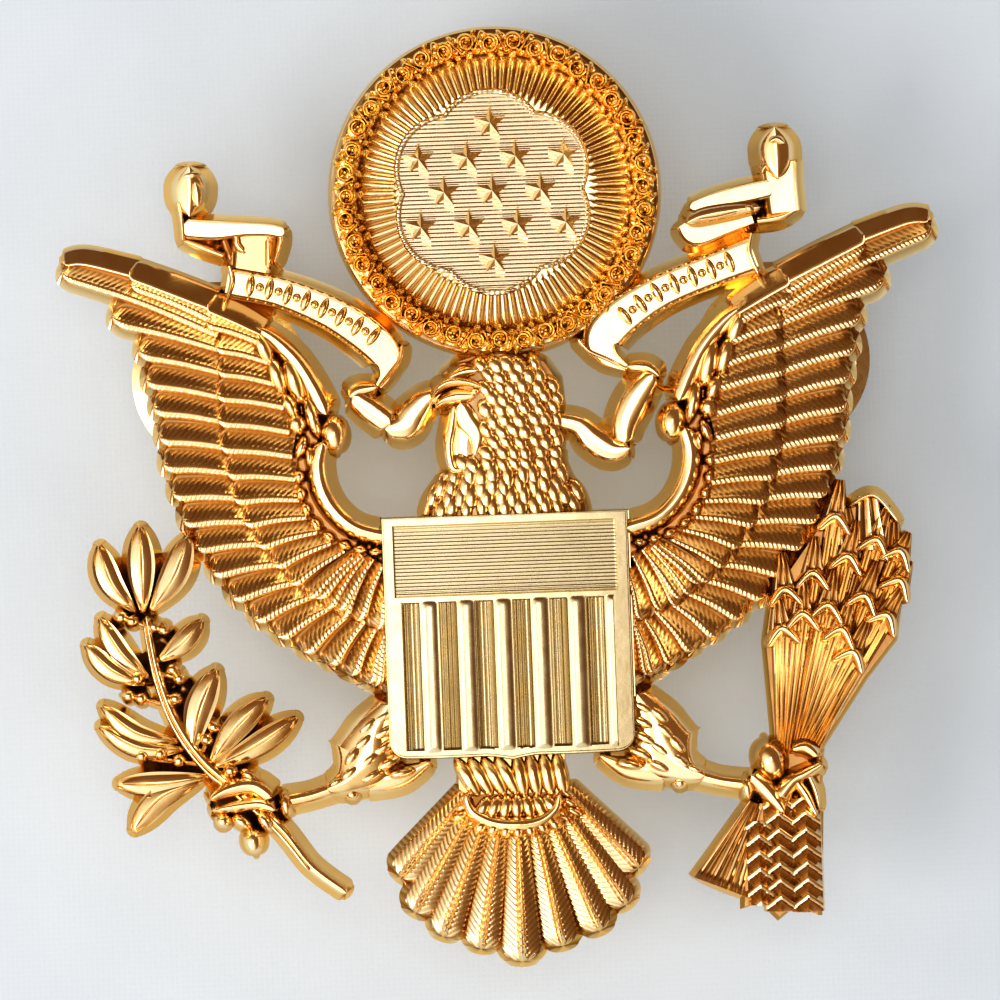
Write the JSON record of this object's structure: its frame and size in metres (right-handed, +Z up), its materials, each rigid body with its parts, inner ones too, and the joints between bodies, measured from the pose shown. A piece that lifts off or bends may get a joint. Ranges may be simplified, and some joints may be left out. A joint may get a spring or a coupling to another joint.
{
  "type": "cap badge",
  "caption": "Gilt cap badge: an eagle with spread wings under a round star disc, a striped shield on its breast, and clutch pins behind.",
  "frame": {"origin": "midway between the two posts, on the plane of the badge's back", "axes": "+Z up as the badge is worn, +Y out of its back along the posts, so the front faces -Y and +X is to the viewer's right"},
  "size_m": [0.0561, 0.0121, 0.0606],
  "materials": {
    "polished_gold": "bright gold plate over brass, highly polished on the raised edges",
    "deep_gold": "bright gold plate with a warmer, orange tone in its pierced curls",
    "pale_gold": "satin pale gold plate with fine engraved lines",
    "fitting_brass": "stamped bright brass"
  },
  "bodies": {
    "badge": {"breast_plate": "polished_gold", "head_and_neck": "polished_gold", "left_wing": "polished_gold", "right_wing": "polished_gold", "left_leg": "polished_gold", "right_leg": "polished_gold", "tail_fan": "polished_gold", "branch": "polished_gold", "arrow_sheaf": "polished_gold", "left_ribbon": "polished_gold", "right_ribbon": "polished_gold", "disc_cup": "polished_gold", "cloud_band": "deep_gold", "star_plate": "pale_gold", "shield": "pale_gold", "shield_rivets": "fitting_brass", "left_post": "fitting_brass", "right_post": "fitting_brass"},
    "left_clutch": {"left_clutch_base": "fitting_brass", "left_clutch_housing": "fitting_brass"},
    "left_upper_leaf": {"left_upper_leaf": "fitting_brass"},
    "left_lower_leaf": {"left_lower_leaf": "fitting_brass"},
    "right_clutch": {"right_clutch_base": "fitting_brass", "right_clutch_housing": "fitting_brass"},
    "right_upper_leaf": {"right_upper_leaf": "fitting_brass"},
    "right_lower_leaf": {"right_lower_leaf": "fitting_brass"}
  },
  "joints": [
    {"name": "left_clutch_slide", "type": "slide", "parent": "badge", "child": "left_clutch", "axis": [0, 1, 0], "range_m": [0, 0.012]},
    {"name": "left_upper_leaf_pinch", "type": "hinge", "parent": "left_clutch", "child": "left_upper_leaf", "pos_m": [-0.0183, 0.0049, 0.0022], "axis": [-1, 0, 0], "range_deg": [0, 12], "stiffness_Nm_per_rad": 0.002},
    {"name": "left_lower_leaf_pinch", "type": "hinge", "parent": "left_clutch", "child": "left_lower_leaf", "pos_m": [-0.0183, 0.0049, -0.0022], "axis": [1, 0, 0], "range_deg": [0, 12], "stiffness_Nm_per_rad": 0.002},
    {"name": "right_clutch_slide", "type": "slide", "parent": "badge", "child": "right_clutch", "axis": [0, 1, 0], "range_m": [0, 0.012]},
    {"name": "right_upper_leaf_pinch", "type": "hinge", "parent": "right_clutch", "child": "right_upper_leaf", "pos_m": [0.0183, 0.0049, 0.0022], "axis": [-1, 0, 0], "range_deg": [0, 12], "stiffness_Nm_per_rad": 0.002},
    {"name": "right_lower_leaf_pinch", "type": "hinge", "parent": "right_clutch", "child": "right_lower_leaf", "pos_m": [0.0183, 0.0049, -0.0022], "axis": [1, 0, 0], "range_deg": [0, 12], "stiffness_Nm_per_rad": 0.002}
  ],
  "couplings": [
    {"joint": "left_lower_leaf_pinch", "follows": "left_upper_leaf_pinch", "ratio": 1},
    {"joint": "right_lower_leaf_pinch", "follows": "right_upper_leaf_pinch", "ratio": 1}
  ]
}
